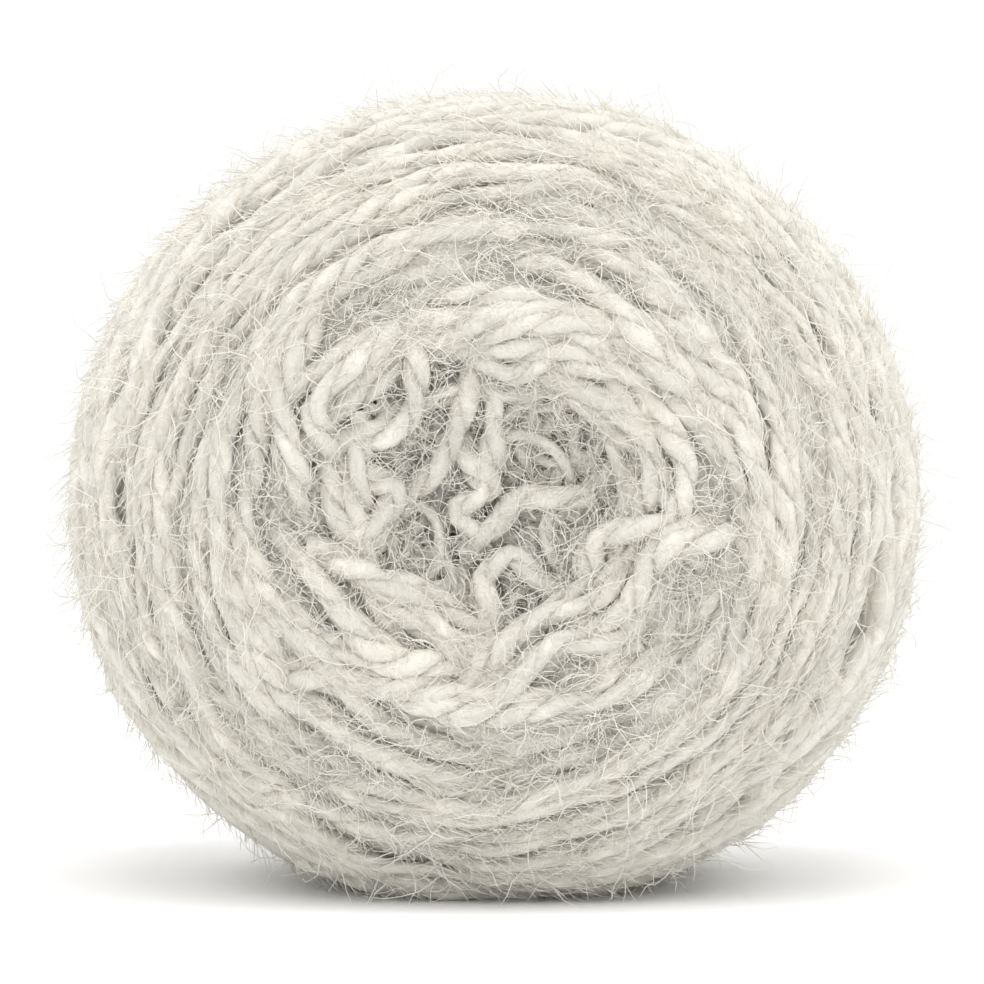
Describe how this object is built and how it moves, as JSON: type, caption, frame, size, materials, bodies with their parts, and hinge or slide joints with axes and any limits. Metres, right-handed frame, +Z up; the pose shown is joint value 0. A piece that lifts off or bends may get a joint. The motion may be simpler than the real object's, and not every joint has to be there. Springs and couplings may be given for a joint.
{
  "type": "yarn cake",
  "caption": "Thick, hairy two-ply yarn wound into a short barrel-shaped cake, lying on its side, with slack loops in the hollow of its end face.",
  "frame": {"origin": "on the flat spot that the cake lies on, under the middle of its outer sizes", "axes": "+Z up; the cake is wound round the Y axis; the end face with the slack loops, from which the yarn pulls out, faces -Y; +X along the cake's width"},
  "size_m": [0.132, 0.105, 0.1223],
  "materials": {
    "yarn": "undyed warm off-white yarn of two soft plies, matt, with a halo of fine hairs"
  },
  "bodies": {
    "root": {"cake": "yarn"}
  },
  "joints": []
}
